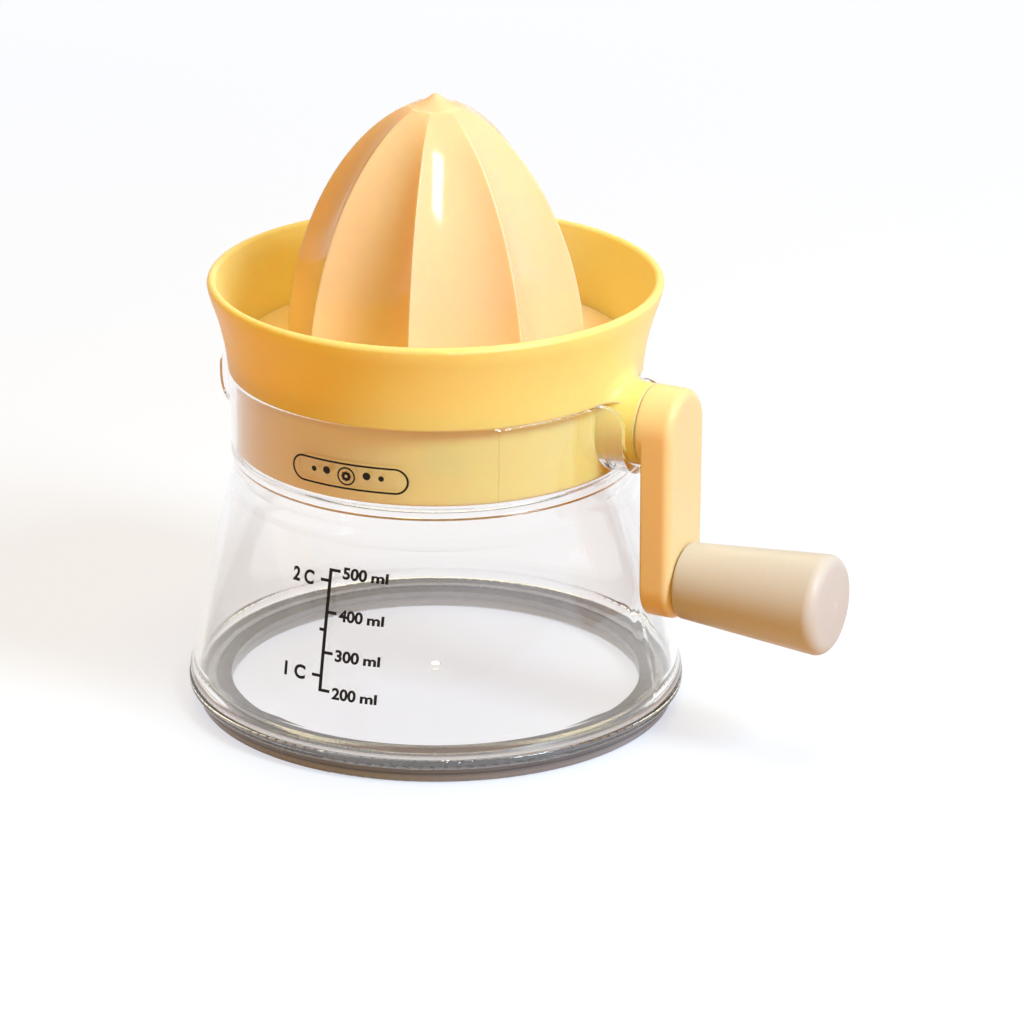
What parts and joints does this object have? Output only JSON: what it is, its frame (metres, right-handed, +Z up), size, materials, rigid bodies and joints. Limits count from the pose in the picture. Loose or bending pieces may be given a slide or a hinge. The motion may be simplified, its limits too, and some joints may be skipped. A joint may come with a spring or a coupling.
{
  "type": "hand-cranked citrus juicer",
  "caption": "Hand-cranked citrus juicer: a fluted reamer in a flared bowl, turned by a side crank through bevel gears, on a clear measuring jug.",
  "frame": {"origin": "on the jug's axis, at the table under the foot ring", "axes": "+Z up along the reamer; +X along the crank shaft towards the crank; +Y completes the right hand"},
  "size_m": [0.1801, 0.1313, 0.165],
  "materials": {
    "clear_plastic": "clear, polished",
    "foot_rubber": "translucent grey, satin",
    "bowl_plastic": "satin gloss",
    "reamer_plastic": "glossy",
    "crank_plastic": "satin gloss",
    "grip_plastic": "satin",
    "gear_plastic": "natural acetal",
    "bush_plastic": "natural nylon",
    "seal_rubber": "black silicone",
    "steel": "bright steel"
  },
  "bodies": {
    "jug": {"jug_shell": "clear_plastic", "jug_floor_plate": "clear_plastic", "foot_ring": "foot_rubber"},
    "bowl": {"juicer_bowl": "bowl_plastic", "gear_case": "bowl_plastic", "gear_case_cover": "bowl_plastic", "cover_screws": "steel", "spindle_foot_bush": "bush_plastic", "spindle_seal_ring": "seal_rubber", "spindle_neck_bush": "bush_plastic", "shaft_inner_bush": "bush_plastic", "shaft_outer_bush": "bush_plastic", "shaft_seal_ring": "seal_rubber"},
    "strainer": {"strainer_plate": "reamer_plastic"},
    "drive": {"drive_spindle": "steel", "crown_gear": "gear_plastic", "crown_gear_pin": "steel"},
    "crank": {"crank_shaft": "steel", "bevel_pinion": "gear_plastic", "pinion_pin": "steel", "pinion_thrust_washer": "bush_plastic", "crank_arm": "crank_plastic", "grip_axle": "steel"},
    "grip": {"grip_sleeve": "grip_plastic", "grip_retainer": "grip_plastic"},
    "reamer": {"reamer_cone": "reamer_plastic"}
  },
  "joints": [
    {"name": "bowl_lift", "type": "slide", "parent": "jug", "child": "bowl", "axis": [0, 0, 1], "range_m": [0, 0.06]},
    {"name": "crank_turn", "type": "hinge", "parent": "bowl", "child": "crank", "pos_m": [0.05, 0, 0.085], "axis": [1, 0, 0], "continuous": true},
    {"name": "spindle_turn", "type": "hinge", "parent": "bowl", "child": "drive", "pos_m": [0, 0, 0.085], "axis": [0, 0, 1], "continuous": true},
    {"name": "grip_turn", "type": "hinge", "parent": "crank", "child": "grip", "pos_m": [0.09, 0, 0.044], "axis": [1, 0, 0], "continuous": true},
    {"name": "reamer_lift", "type": "slide", "parent": "drive", "child": "reamer", "axis": [0, 0, 1], "range_m": [0, 0.06]},
    {"name": "strainer_lift", "type": "slide", "parent": "bowl", "child": "strainer", "axis": [0, 0, 1], "range_m": [0, 0.06]}
  ],
  "couplings": [
    {"joint": "spindle_turn", "follows": "crank_turn", "ratio": 0.5},
    {"joint": "strainer_lift", "follows": "reamer_lift", "ratio": 1}
  ]
}
